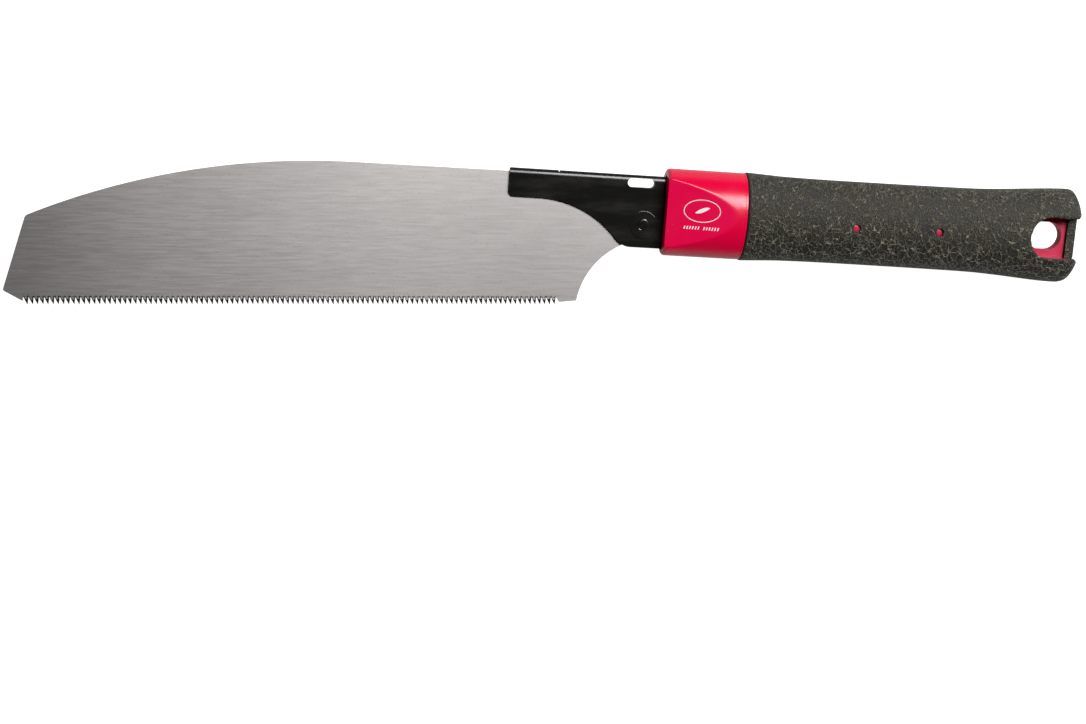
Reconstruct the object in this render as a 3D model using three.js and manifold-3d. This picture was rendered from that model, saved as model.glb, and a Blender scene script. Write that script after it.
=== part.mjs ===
// Pull saw with a replaceable single-edge blade that hooks on a pin and swings into a folded steel holder.
//
// Millimetres. The saw lies on its side: +X runs from the blade's nose to the handle's end along the toothed
// edge, +Y from the teeth to the spine, +Z out of the blade's flat. The model is drawn from the hook pin's
// centre, in the blade's mid-plane, and moved at the end so that the origin is the middle of its footprint.
// The holder and the handle are drawn in a handle frame, turned about the pin by HANDLE_DROP: u along the
// handle from the pin, v towards the spine.

import * as THREE from 'three';
import { mergeVertices } from 'three/addons/utils/BufferGeometryUtils.js';
import Module from 'manifold-3d';

const wasm = await Module();
wasm.setup();

const { degToRad } = THREE.MathUtils;
const vec = (x, y) => new THREE.Vector2(x, y);

// ---- driving dimensions ------------------------------------------------------------------------------

const HANDLE_DROP = degToRad(3);        // the handle's axis falls away from the toothline by this
const FIT = 0.3;                        // clearance round a fixed piece
const SIDE_PLAY = 0.1;                  // clearance on each flat of a plate in the folded sheet

const BLADE_THICKNESS = 0.9;
const TOOTH_PITCH = 2.5;
const TOOTH_COUNT = 106;                // a 265 mm toothline
const TOOTH_HEIGHT = 4.1;
const TOOTH_FACE_RUN = 0.5;             // along the edge, from a tip to the gullet on the handle's side
const TIP_LINE_Y = -41.3;
const FIRST_TIP_X = -307.3;
const NOSE_TOP = vec(-306.8, 3.2);
const NOSE_BOTTOM = vec(-319, -34.1);
const NOSE_CHAMFER_END = vec(-309.7, -39.4);
const HEEL_CORNER = vec(-33.7, -39.2);
const HEEL_LAND_START = vec(-42.5, -39.9);
const HEEL_ARC = { centre: vec(5.25, -46.5), radius: 39.6 };
const SPINE_SLOPE = degToRad(2.6);      // the straight rear of the spine falls towards the handle
const SPINE_AT_PIN_Y = 23.8;            // the straight spine's height, carried on to the pin
const SPINE_BELLY_RADIUS = 372.5;
const SPINE_BELLY_START_X = -148.2;      // the straight spine meets the belly here

const PIN_RADIUS = 2.8;
const PIN_THROAT = PIN_RADIUS + FIT;    // half the width of the blade's hook slot
const HOOK_RADIUS = 8;                  // the blade's hook, about the pin
const THROAT_LEAN = degToRad(20);       // the hook slot leans back by the blade's full swing
const TANG_TOP_V = 16.5;
const TANG_STEP_START_U = -42;
const TANG_STEP_END_U = -33;

const SHEET = 1.2;                      // the holder's folded sheet
const SLOT_HALF = BLADE_THICKNESS / 2 + SIDE_PLAY;
const HOLDER_HALF = SLOT_HALF + SHEET;
const HOLDER_TOP_V = 25.05;
const HOLDER_BOTTOM_V = -11.7;
const HOLDER_FRONT_U = -70.15;
const CLAMP_BOTTOM_V = 10.6;
const BOSS_RADIUS = 7.15;               // pressed disc round the hook pin, on each cheek
const BOSS_HEIGHT = 0.3;
const WINDOW = { u0: -9.7, u1: 4.3, v0: 18.8, v1: 23.45 };
const FOLD_NICK = { u: -45, width: 0.8, depth: 1.0 };
const TAIL = { shoulderU: 16, endU: 34, v0: -4.5, v1: 19 };

const TANG_PLATE = { u0: 12.5, u1: 165, v0: -2.5, v1: 16.5 };
const RIVETS_U = [21, 29];
const RIVET_V = 7;
const RIVET_RADIUS = 2;
const RIVET_HEAD = { radius: 3.4, height: 1.1 };
const CROSS_PINS = [vec(108.6, 5.75), vec(152.7, 6.1)];
const CROSS_PIN_RADIUS = 2.2;

const AXIS_V = 7.2;                     // the handle's axis in the handle frame
const OVAL = 0.65;                      // the handle's thickness over its height
const FERRULE = { front: 10.2, rear: 50.9, radius: 22.25, edge: 1.8, wall: 3 };
const FACET = { noseU: 45, slope: 0.1635 };
const CAVITY = { radius: 19.7, half: 6.5 };
const MOUTH_GAP = 0.75;

const GRIP_WALL = 2.4;
const GRIP_FRONT = FERRULE.rear + FIT;
const GRIP_END = 231.7;
const GRIP_PROFILE = [                  // radius of the grip's outside along the handle
  vec(GRIP_FRONT, 22.7), vec(61, 22.15), vec(71, 21.7), vec(92, 21.45), vec(158, 21.7),
  vec(176, 21.95), vec(190, 22.7), vec(205, 23.75), vec(218, 24.6), vec(224, 24.6),
  vec(227.4, 22.9), vec(229.3, 19.6), vec(230.5, 16.3), vec(231.4, 14), vec(GRIP_END, 12.5), vec(GRIP_END, 0),
];
const CORE_END = 224.9;
const CORE_HALF_GAP = 0.15;             // half the split between the two core shells
const WINDOW_DOT_RADIUS = 1.95;
const HANG = { u0: 204.7, u1: 223, v0: -0.4, v1: 14.2 };
const EYE = { centreU: 212.2, v0: -4.1, v1: 17.1, endU: 225.3 };
const WEB_HALF = 2.8;
const STRIP = { endU: 230.2, half: 4.6 };  // the grip's end strip, sunk between the lips for a lanyard
const ROUND_STEPS = 44;                 // sides of the handle's turned shapes

// ---- solids ------------------------------------------------------------------------------------------

/** A closed solid from any three.js geometry. */
function solid(geometry) {
  const bare = geometry.index ? geometry.clone() : geometry;
  bare.deleteAttribute('normal');
  bare.deleteAttribute('uv');
  const merged = mergeVertices(bare);
  const index = merged.index.array;
  const triangles = [];
  for (let i = 0; i < index.length; i += 3) {
    const [a, b, c] = [index[i], index[i + 1], index[i + 2]];
    if (a !== b && b !== c && c !== a) triangles.push(a, b, c);
  }
  return new wasm.Manifold(new wasm.Mesh({
    numProp: 3,
    vertProperties: merged.attributes.position.array,
    triVerts: new Uint32Array(triangles),
  }));
}

/** A three.js geometry from a solid. */
function geometry(body) {
  const mesh = body.getMesh();
  const result = new THREE.BufferGeometry();
  result.setAttribute('position', new THREE.BufferAttribute(mesh.vertProperties, 3));
  result.setIndex(new THREE.BufferAttribute(mesh.triVerts, 1));
  result.computeVertexNormals();
  return result;
}

/** A flat outline raised from z0 to z1. */
function prism(outline, z0, z1) {
  const raised = new THREE.ExtrudeGeometry(new THREE.Shape(outline), { depth: z1 - z0, bevelEnabled: false });
  raised.translate(0, 0, z0);
  return solid(raised);
}

/** A box between two corners. */
function block(u0, u1, v0, v1, z0, z1) {
  return prism([vec(u0, v0), vec(u1, v0), vec(u1, v1), vec(u0, v1)], z0, z1);
}

/** A round bar along Z. */
function bar(centre, radius, z0, z1, sides = 24) {
  const round = new THREE.CylinderGeometry(radius, radius, z1 - z0, sides);
  round.rotateX(Math.PI / 2);
  round.translate(centre.x, centre.y, (z0 + z1) / 2);
  return solid(round);
}

/** A profile of (along, radius) points turned about the handle's axis and squeezed in Z by `oval`. */
function turned(profile, oval) {
  const points = profile.map((p) => vec(p.y, p.x));
  const lathe = new THREE.LatheGeometry(points, ROUND_STEPS);
  lathe.rotateZ(-Math.PI / 2);
  lathe.scale(1, 1, oval);
  lathe.translate(0, AXIS_V, 0);
  return solid(lathe);
}

// ---- outlines ----------------------------------------------------------------------------------------

/** Points on an arc from one angle to the other, in degrees. */
function arc(centre, radius, fromDeg, toDeg, steps) {
  return Array.from({ length: steps + 1 }, (_, i) => {
    const angle = degToRad(fromDeg + (toDeg - fromDeg) * i / steps);
    return vec(centre.x + radius * Math.cos(angle), centre.y + radius * Math.sin(angle));
  });
}

/** The angle of a point about a centre, in degrees. */
function bearing(centre, point) {
  return THREE.MathUtils.radToDeg(Math.atan2(point.y - centre.y, point.x - centre.x));
}

/** A corner between two neighbours, rounded to a tangent arc of `radius`. */
function rounded(before, corner, after, radius, steps = 6) {
  const back = before.clone().sub(corner).normalize();
  const ahead = after.clone().sub(corner).normalize();
  const halfAngle = Math.acos(THREE.MathUtils.clamp(back.dot(ahead), -1, 1)) / 2;
  const reach = radius / Math.tan(halfAngle);
  const start = corner.clone().addScaledVector(back, reach);
  const end = corner.clone().addScaledVector(ahead, reach);
  const inward = back.add(ahead).normalize();
  const centre = corner.clone().addScaledVector(inward, radius / Math.sin(halfAngle));
  const from = bearing(centre, start);
  const sweep = ((bearing(centre, end) - from + 540) % 360) - 180;
  return arc(centre, radius, from, from + sweep, steps);
}

/** A closed outline from corners given as [x, y] or [x, y, radius, steps]. */
function outlineOf(corners) {
  const points = corners.map(([x, y]) => vec(x, y));
  const at = (i) => points[(i + points.length) % points.length];
  return corners.flatMap(([, , radius, steps], i) => (
    radius ? rounded(at(i - 1), at(i), at(i + 1), radius, steps) : [at(i)]
  ));
}

/** A handle-frame point in the saw's own frame. */
function handleToSaw(point) {
  return point.clone().rotateAround(vec(0, 0), -HANDLE_DROP);
}

// ---- the blade ---------------------------------------------------------------------------------------

/** The toothed edge from nose to heel, each tooth steep on the side that faces the handle. */
function toothedEdge() {
  const gulletY = TIP_LINE_Y + TOOTH_HEIGHT;
  const points = [];
  for (let i = 0; i < TOOTH_COUNT; i += 1) {
    const tipX = FIRST_TIP_X + i * TOOTH_PITCH;
    points.push(vec(tipX - TOOTH_PITCH + TOOTH_FACE_RUN, gulletY), vec(tipX, TIP_LINE_Y));
  }
  points.push(vec(points.at(-1).x + TOOTH_FACE_RUN, gulletY));
  return points;
}

/** The blade's rear: heel arc, hook round the pin with its leaning slot, and the tang's stepped top. */
function tangOutline() {
  const pin = vec(0, 0);
  const reach = HEEL_ARC.centre.length();
  const towardsArc = HEEL_ARC.centre.clone().normalize();
  const along = (HOOK_RADIUS ** 2 - HEEL_ARC.radius ** 2 + reach ** 2) / (2 * reach);
  const across = Math.sqrt(HOOK_RADIUS ** 2 - along ** 2);
  const hookStart = towardsArc.clone().multiplyScalar(along)
    .add(vec(-towardsArc.y, towardsArc.x).multiplyScalar(across));

  const throat = vec(Math.sin(THROAT_LEAN), Math.cos(THROAT_LEAN));
  const throatDeg = bearing(pin, handleToSaw(throat));
  const barbDeg = throatDeg - THREE.MathUtils.radToDeg(Math.asin(PIN_THROAT / HOOK_RADIUS));
  const slotLeft = throat.clone().rotateAround(pin, Math.PI / 2).multiplyScalar(PIN_THROAT);
  const slotTop = slotLeft.clone().addScaledVector(throat, (TANG_TOP_V - slotLeft.y) / throat.y);
  const stepV = SPINE_AT_PIN_Y * Math.cos(SPINE_SLOPE)
    + TANG_STEP_START_U * Math.tan(HANDLE_DROP - SPINE_SLOPE);

  return [
    ...arc(HEEL_ARC.centre, HEEL_ARC.radius, bearing(HEEL_ARC.centre, HEEL_CORNER),
      bearing(HEEL_ARC.centre, hookStart), 20),
    ...arc(pin, HOOK_RADIUS, bearing(pin, hookStart), barbDeg, 10).slice(1),
    ...arc(pin, PIN_THROAT, throatDeg - 90, throatDeg - 270, 10),
    handleToSaw(slotTop),
    handleToSaw(vec(TANG_STEP_END_U, TANG_TOP_V)),
    handleToSaw(vec(TANG_STEP_START_U, stepV)),
  ];
}

/** The spine from the holder to the nose: straight, then the long belly. */
function spineOutline() {
  const start = vec(SPINE_BELLY_START_X, SPINE_AT_PIN_Y - SPINE_BELLY_START_X * Math.tan(SPINE_SLOPE));
  const normal = vec(Math.sin(SPINE_SLOPE), Math.cos(SPINE_SLOPE));
  const centre = start.clone().addScaledVector(normal, -SPINE_BELLY_RADIUS);
  const endDeg = 180 - THREE.MathUtils.radToDeg(Math.acos((centre.x - NOSE_TOP.x) / SPINE_BELLY_RADIUS));
  const belly = arc(centre, SPINE_BELLY_RADIUS, bearing(centre, start), endDeg, 22);
  const tip = belly.pop();
  return [...belly, ...rounded(belly.at(-1), tip, NOSE_BOTTOM, 3, 5)];
}

function sawBlade() {
  const outline = [
    NOSE_CHAMFER_END,
    ...toothedEdge(),
    HEEL_LAND_START,
    ...tangOutline(),
    ...spineOutline(),
    ...rounded(NOSE_TOP, NOSE_BOTTOM, NOSE_CHAMFER_END, 1.2, 3),
  ];
  return prism(outline, -BLADE_THICKNESS / 2, BLADE_THICKNESS / 2);
}

// ---- the holder and what is riveted to it --------------------------------------------------------------

/** Chamfered steel pin through both cheeks, which the blade's hook hangs on. */
function hookPin() {
  const half = HOLDER_HALF + BOSS_HEIGHT + 0.2;
  const chamfer = 0.25;
  const profile = [
    vec(0, -half), vec(PIN_RADIUS - chamfer, -half), vec(PIN_RADIUS, -half + chamfer),
    vec(PIN_RADIUS, half - chamfer), vec(PIN_RADIUS - chamfer, half), vec(0, half),
  ];
  const lathe = new THREE.LatheGeometry(profile, 24);
  lathe.rotateX(Math.PI / 2);
  return solid(lathe);
}

/** The holder's side view: clamp arm, long concave throat, pin boss and the tail inside the handle. */
function holderOutline() {
  return outlineOf([
    [HOLDER_FRONT_U, HOLDER_TOP_V, 0.8, 3],
    [HOLDER_FRONT_U, CLAMP_BOTTOM_V, 2.8, 5],
    [-29.5, CLAMP_BOTTOM_V, 53.1, 12],
    [-10.6, HOLDER_BOTTOM_V, 9.8, 6],
    [TAIL.shoulderU, HOLDER_BOTTOM_V],
    [TAIL.shoulderU, TAIL.v0],
    [TAIL.endU, TAIL.v0, 3, 4],
    [TAIL.endU, TAIL.v1, 3, 4],
    [TAIL.shoulderU, TAIL.v1],
    [TAIL.shoulderU, HOLDER_TOP_V],
  ]);
}

/** A half round on top of two straight sides, the section of the fold, as (across, up) points. */
function foldSection(half, top, bottom, steps) {
  return [vec(half, bottom), ...arc(vec(0, top - half), half, 0, 180, steps), vec(-half, bottom)];
}

/** A fold section carried along the handle frame's u direction. */
function foldBar(half, top, bottom, u0, u1, steps) {
  const bent = new THREE.ExtrudeGeometry(new THREE.Shape(foldSection(half, top, bottom, steps)), {
    depth: u1 - u0,
    bevelEnabled: false,
  });
  bent.rotateY(Math.PI / 2);
  bent.translate(u0, 0, 0);
  return solid(bent);
}

/** A slot with round ends, as an outline. */
function slotOutline({ u0, u1, v0, v1 }) {
  const radius = (v1 - v0) / 2;
  const v = (v0 + v1) / 2;
  return [
    ...arc(vec(u1 - radius, v), radius, -90, 90, 10),
    ...arc(vec(u0 + radius, v), radius, 90, 270, 10),
  ];
}

function bladeHolder() {
  const past = 5;
  const beyond = { front: HOLDER_FRONT_U - past, rear: TAIL.endU + past, low: HOLDER_BOTTOM_V - past };
  const pin = vec(0, 0);
  const bossTop = HOLDER_HALF + BOSS_HEIGHT;
  const nickHalf = FOLD_NICK.width / 2;

  let body = prism(holderOutline(), -HOLDER_HALF, HOLDER_HALF)
    .intersect(foldBar(HOLDER_HALF, HOLDER_TOP_V, beyond.low, beyond.front, beyond.rear, 10))
    .add(bar(pin, BOSS_RADIUS, -bossTop, bossTop, 36))
    .subtract(foldBar(SLOT_HALF, HOLDER_TOP_V - SHEET, beyond.low, beyond.front, beyond.rear, 6))
    .subtract(prism(slotOutline(WINDOW), -past, past))
    .subtract(bar(pin, PIN_THROAT, -past, past))
    .subtract(block(FOLD_NICK.u - nickHalf, FOLD_NICK.u + nickHalf,
      HOLDER_TOP_V - FOLD_NICK.depth, HOLDER_TOP_V + past, -past, past));
  for (const u of RIVETS_U) body = body.subtract(bar(vec(u, RIVET_V), RIVET_RADIUS + FIT, -past, past));
  return body;
}

/** Flat steel bar between the holder's cheeks, which carries the pull into the handle. */
function tangPlate() {
  const past = 5;
  const { u0, u1, v0, v1 } = TANG_PLATE;
  const outline = outlineOf([[u0, v0], [u1, v0, 5, 5], [u1, v1, 5, 5], [u0, v1]]);
  let body = prism(outline, -BLADE_THICKNESS / 2, BLADE_THICKNESS / 2);
  for (const u of RIVETS_U) body = body.subtract(bar(vec(u, RIVET_V), RIVET_RADIUS + FIT, -past, past));
  for (const p of CROSS_PINS) body = body.subtract(bar(p, CROSS_PIN_RADIUS + FIT, -past, past));
  return body;
}

/** Double-headed rivet through the cheeks and the tang plate. */
function tangRivet(u) {
  const seat = HOLDER_HALF + SIDE_PLAY;
  const top = seat + RIVET_HEAD.height;
  const centre = vec(u, RIVET_V);
  return bar(centre, RIVET_RADIUS, -top, top)
    .add(bar(centre, RIVET_HEAD.radius, seat, top))
    .add(bar(centre, RIVET_HEAD.radius, -top, -seat));
}

// ---- the handle --------------------------------------------------------------------------------------

/** The eye near the handle's end: round towards the blade, square towards the end strip. */
function eyeOutline() {
  const radius = (EYE.v1 - EYE.v0) / 2;
  const centre = vec(EYE.centreU, (EYE.v0 + EYE.v1) / 2);
  return [...arc(centre, radius, 90, 270, 14), vec(EYE.endU, EYE.v0), vec(EYE.endU, EYE.v1)];
}

/** A surface `inset` inside the grip's outside, closed at `endU`, as (along, radius) points. */
function gripProfile(inset, startU, endU) {
  const wall = GRIP_PROFILE.map((p) => vec(p.x, p.y - inset)).filter((p) => p.x < endU);
  wall[0].x = startU;
  return [...wall, vec(endU, wall.at(-1).y), vec(endU, 0)];
}

/** Half of the rigid core on one side of the blade's plane, +1 or -1. */
function coreShell(side) {
  const inset = GRIP_WALL + FIT;
  const past = 30;
  const spigotFront = FERRULE.front + FERRULE.wall + FIT;
  const spigotRadius = CAVITY.radius - FIT;
  const bodyFront = GRIP_FRONT + FIT;
  const spigot = turned([
    vec(spigotFront, 0), vec(spigotFront, spigotRadius), vec(bodyFront + 2, spigotRadius), vec(bodyFront + 2, 0),
  ], (CAVITY.half - FIT) / spigotRadius);
  const body = turned([vec(bodyFront, 0), ...gripProfile(inset, bodyFront, CORE_END)], OVAL);
  const half = side > 0
    ? block(0, 250, -past, past * 2, CORE_HALF_GAP, past)
    : block(0, 250, -past, past * 2, -past, -CORE_HALF_GAP);
  const cheek = HOLDER_HALF + FIT;
  const headDepth = HOLDER_HALF + SIDE_PLAY + RIVET_HEAD.height + FIT;
  const plateHalf = BLADE_THICKNESS / 2 + FIT;
  const { u1, v0, v1 } = TANG_PLATE;

  let shell = spigot.add(body)
    .subtract(prism(eyeOutline(), WEB_HALF, past))
    .subtract(prism(eyeOutline(), -past, -WEB_HALF))
    .subtract(prism(slotOutline(HANG), -past, past))
    .subtract(block(0, TAIL.shoulderU + FIT, -past, past * 2, -cheek, cheek))
    .subtract(block(0, TAIL.endU + FIT, TAIL.v0 - FIT, TAIL.v1 + FIT, -cheek, cheek))
    .subtract(block(0, u1 + FIT, v0 - FIT, v1 + FIT, -plateHalf, plateHalf));
  for (const u of RIVETS_U) {
    shell = shell.subtract(bar(vec(u, RIVET_V), RIVET_HEAD.radius + FIT, -headDepth, headDepth));
  }
  for (const p of CROSS_PINS) shell = shell.subtract(bar(p, CROSS_PIN_RADIUS + FIT, -past, past));
  return shell.intersect(half);
}

/** Peg through both core shells and the tang plate; its ends show through the grip's round windows. */
function crossPin(centre) {
  const coreRadius = GRIP_PROFILE[4].y - GRIP_WALL - FIT;
  const offAxis = Math.abs(centre.y - AXIS_V) + CROSS_PIN_RADIUS;
  const half = coreRadius * OVAL * Math.sqrt(1 - (offAxis / coreRadius) ** 2) - FIT / 2;
  return bar(centre, CROSS_PIN_RADIUS, -half, half);
}

/** Oval collar over the core's front, with a sloping flat facet on each side and a slot for the holder. */
function ferrule() {
  const { front, rear, radius, edge, wall } = FERRULE;
  const past = 30;
  const corner = arc(vec(front + edge, radius - edge), edge, 180, 90, 5);
  const outside = turned([vec(front, 0), ...corner, vec(rear, radius), vec(rear, 0)], OVAL);
  const cavity = turned([
    vec(front + wall, 0), vec(front + wall, CAVITY.radius), vec(rear + past, CAVITY.radius), vec(rear + past, 0),
  ], CAVITY.half / CAVITY.radius);
  const facetTop = (u) => radius * OVAL - (FACET.noseU - u) * FACET.slope;
  const mouthHalf = HOLDER_HALF + MOUTH_GAP;

  let body = outside.subtract(cavity).subtract(block(
    front - 1, front + wall + 1, HOLDER_BOTTOM_V - MOUTH_GAP, HOLDER_TOP_V + MOUTH_GAP, -mouthHalf, mouthHalf,
  ));
  const wedge = [
    vec(front - 5, facetTop(front - 5)), vec(FACET.noseU + 5, facetTop(FACET.noseU + 5)),
    vec(FACET.noseU + 5, past), vec(front - 5, past),
  ];
  for (const side of [1, -1]) {
    const outline = wedge.map((p) => vec(p.x, p.y * side));
    const cutter = new THREE.ExtrudeGeometry(new THREE.Shape(outline), { depth: 2 * past, bevelEnabled: false });
    cutter.translate(0, 0, -past);
    cutter.rotateX(Math.PI / 2);
    cutter.translate(0, AXIS_V, 0);
    body = body.subtract(solid(cutter));
  }
  return body;
}

/** Soft sleeve over the core, flared at the end, with an eye on each side and a sunk strip across the end. */
function gripSleeve() {
  const past = 30;
  const outside = turned([vec(GRIP_FRONT, 0), ...GRIP_PROFILE], OVAL);
  const before = GRIP_FRONT - 1;
  const inside = turned([vec(before, 0), ...gripProfile(GRIP_WALL, before, CORE_END + FIT)], OVAL);
  const groove = block(EYE.endU - 1, GRIP_END + past, EYE.v0, EYE.v1, -past, past)
    .subtract(block(EYE.endU - 2, STRIP.endU, EYE.v0 - 1, EYE.v1 + 1, -STRIP.half, STRIP.half));
  let body = outside.subtract(inside).subtract(groove).subtract(prism(eyeOutline(), -past, past));
  for (const p of CROSS_PINS) body = body.subtract(bar(p, WINDOW_DOT_RADIUS, -past, past, 16));
  return body;
}

// ---- assembly ----------------------------------------------------------------------------------------

const SATIN_STEEL = new THREE.MeshStandardMaterial({ color: 0xa5a09b, roughness: 0.38, metalness: 0.9 });
const ZINC_STEEL = new THREE.MeshStandardMaterial({ color: 0xb0b2b4, roughness: 0.45, metalness: 0.85 });
const BLACK_ENAMEL = new THREE.MeshStandardMaterial({ color: 0x121214, roughness: 0.22, metalness: 0.1 });
const RED_GLOSS = new THREE.MeshStandardMaterial({ color: 0xd6002f, roughness: 0.15, metalness: 0 });
const RED_SATIN = new THREE.MeshStandardMaterial({ color: 0xc41a3c, roughness: 0.4, metalness: 0 });
const OLIVE_RUBBER = new THREE.MeshStandardMaterial({ color: 0x34352c, roughness: 0.6, metalness: 0 });

/** A named piece of the saw. */
function piece(name, body, material) {
  const mesh = new THREE.Mesh(geometry(body), material);
  mesh.name = name;
  return mesh;
}

const handle = new THREE.Group();
handle.rotation.z = -HANDLE_DROP;
handle.add(
  piece('blade_holder', bladeHolder(), BLACK_ENAMEL),
  piece('tang_plate', tangPlate(), ZINC_STEEL),
  piece('tang_rivet_front', tangRivet(RIVETS_U[0]), ZINC_STEEL),
  piece('tang_rivet_rear', tangRivet(RIVETS_U[1]), ZINC_STEEL),
  piece('core_shell_left', coreShell(1), RED_SATIN),
  piece('core_shell_right', coreShell(-1), RED_SATIN),
  piece('cross_pin_front', crossPin(CROSS_PINS[0]), RED_SATIN),
  piece('cross_pin_rear', crossPin(CROSS_PINS[1]), RED_SATIN),
  piece('ferrule', ferrule(), RED_GLOSS),
  piece('grip_sleeve', gripSleeve(), OLIVE_RUBBER),
);

const saw = new THREE.Group();
saw.add(piece('saw_blade', sawBlade(), SATIN_STEEL), piece('hook_pin', hookPin(), ZINC_STEEL), handle);

const footprint = new THREE.Box3().setFromObject(saw, true);
const middle = footprint.getCenter(new THREE.Vector3());
saw.position.set(-middle.x, -middle.y, -footprint.min.z);

const group = new THREE.Group();
group.add(saw);
export default group;
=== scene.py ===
"""A pull saw with a replaceable blade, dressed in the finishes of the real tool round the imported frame.

Sizes are in millimetres in the saw's own axes, measured from the hook pin in the blade's mid-plane: x
along the toothed edge towards the handle, y towards the spine, z out of the flat. The handle frame
(u, v, z) is the same frame turned about the pin by the handle's drop. A Place turns either into the row
frame in metres.
"""

from __future__ import annotations

import logging
import math
from dataclasses import dataclass, field
from enum import Enum
from typing import Iterable, Sequence

import bmesh
import bpy
from mathutils import Matrix, Vector


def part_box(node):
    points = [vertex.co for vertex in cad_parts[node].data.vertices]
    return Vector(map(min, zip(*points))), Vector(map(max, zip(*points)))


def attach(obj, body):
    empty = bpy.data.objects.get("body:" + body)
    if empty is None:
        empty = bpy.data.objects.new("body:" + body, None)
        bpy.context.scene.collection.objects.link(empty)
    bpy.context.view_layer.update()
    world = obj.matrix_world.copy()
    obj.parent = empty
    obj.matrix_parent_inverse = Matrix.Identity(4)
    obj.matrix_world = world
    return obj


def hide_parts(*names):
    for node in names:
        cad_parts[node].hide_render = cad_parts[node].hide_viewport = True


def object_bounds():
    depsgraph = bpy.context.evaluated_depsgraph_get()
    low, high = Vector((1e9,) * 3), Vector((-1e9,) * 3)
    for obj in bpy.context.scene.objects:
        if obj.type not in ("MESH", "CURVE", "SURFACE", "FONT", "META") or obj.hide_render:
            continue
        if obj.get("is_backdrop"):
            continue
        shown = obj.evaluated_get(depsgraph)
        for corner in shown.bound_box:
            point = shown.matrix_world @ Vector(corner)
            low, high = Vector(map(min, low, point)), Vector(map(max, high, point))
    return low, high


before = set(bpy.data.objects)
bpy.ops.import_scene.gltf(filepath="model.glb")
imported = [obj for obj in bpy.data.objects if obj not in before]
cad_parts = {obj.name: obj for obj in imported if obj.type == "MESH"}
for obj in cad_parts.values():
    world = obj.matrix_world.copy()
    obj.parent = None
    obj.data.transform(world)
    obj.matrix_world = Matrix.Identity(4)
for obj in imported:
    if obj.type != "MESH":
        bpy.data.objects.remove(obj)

LOG = logging.getLogger("pull_saw")
Point = tuple[float, float]
Colour = tuple[float, float, float]
Loop = list[tuple[float, float, float]]
Facets = tuple[list[Sequence[float]], list[Sequence[int]], list[bool]]
Mesh = bpy.types.Mesh
Socket = bpy.types.NodeSocket

TALL = 40.0  # a cutter that reaches this far passes right through the handle


class Body(Enum):
    """The CAD bodies that pieces ride on."""

    HANDLE = "handle"
    PIN = "pin"
    BLADE = "blade"


class Side(Enum):
    """The two flats of the saw."""

    UPPER = 1
    LOWER = -1


class Grind(Enum):
    """How wide a tooth's bevels are, and how far its tip is set to one side."""

    LONG = (0.86, 0.27)
    SHORT = (0.68, -0.27)


# ---- placing and outlines ----------------------------------------------------------------------------


@dataclass(frozen=True)
class Place:
    """Where the saw's own millimetres lie in the row frame."""

    pin: Vector
    handle_drop: float = math.radians(3.0)

    def saw(self) -> Matrix:
        """The matrix from the saw's axes in millimetres to the row frame."""
        return Matrix.Translation(self.pin) @ Matrix.Scale(0.001, 4)

    def handle(self) -> Matrix:
        """The matrix from the handle frame in millimetres to the row frame."""
        return self.saw() @ Matrix.Rotation(-self.handle_drop, 4, "Z")

    def handle_to_saw(self, u: float, v: float) -> Point:
        """A handle-frame point in the saw's axes."""
        c, s = math.cos(self.handle_drop), math.sin(self.handle_drop)
        return (u * c + v * s, v * c - u * s)


def arc(centre: Point, radius: float, start: float, end: float, steps: int) -> list[Point]:
    """Points on an arc.

    Args:
        centre: the arc's centre.
        radius: its radius.
        start: the first angle, in degrees.
        end: the last angle, in degrees.
        steps: how many equal steps there are between them.

    Returns:
        The points, with both ends.
    """
    angles = [math.radians(start + (end - start) * i / steps) for i in range(steps + 1)]
    return [(centre[0] + radius * math.cos(a), centre[1] + radius * math.sin(a)) for a in angles]


def bearing(centre: Point, point: Point) -> float:
    """The angle of a point about a centre, in degrees."""
    return math.degrees(math.atan2(point[1] - centre[1], point[0] - centre[0]))


def round_corner(before: Point, corner: Point, after: Point, radius: float, steps: int = 10) -> list[Point]:
    """A corner between two neighbours, rounded to a tangent arc.

    Args:
        before: the point before the corner.
        corner: the corner.
        after: the point after it.
        radius: the arc's radius.
        steps: how many steps the arc has.

    Returns:
        The arc's points.
    """
    here = Vector(corner)
    back, ahead = (Vector(before) - here).normalized(), (Vector(after) - here).normalized()
    half = back.angle(ahead) / 2
    start = here + back * (radius / math.tan(half))
    end = here + ahead * (radius / math.tan(half))
    centre = here + (back + ahead).normalized() * (radius / math.sin(half))
    first = bearing(centre, start)
    sweep = (bearing(centre, end) - first + 540) % 360 - 180
    return arc(tuple(centre), radius, first, first + sweep, steps)


def outline_of(corners: Sequence[tuple[float, ...]]) -> list[Point]:
    """A closed outline from corners given as (x, y) or (x, y, radius)."""
    points: list[Point] = []
    count = len(corners)
    for i, corner in enumerate(corners):
        if len(corner) == 2:
            points.append(corner)
        else:
            before, after = corners[i - 1][:2], corners[(i + 1) % count][:2]
            points += round_corner(before, corner[:2], after, corner[2], 24 if corner[2] > 20 else 10)
    return points


def circle(centre: Point, radius: float) -> list[Point]:
    """A closed circle, as an outline."""
    return arc(centre, radius, 0, 350, 35)


def slot_outline(u0: float, u1: float, v0: float, v1: float, steps: int = 16) -> list[Point]:
    """A slot with round ends, as an outline."""
    radius, v = (v1 - v0) / 2, (v0 + v1) / 2
    return arc((u1 - radius, v), radius, -90, 90, steps) + arc((u0 + radius, v), radius, 90, 270, steps)


def soft_min(a: float, b: float, blend: float) -> float:
    """The smaller of two values, with the corner between them rounded over `blend`."""
    near = max(blend - abs(a - b), 0.0) / blend
    return min(a, b) - near * near * blend / 4


# ---- meshes ------------------------------------------------------------------------------------------


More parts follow.
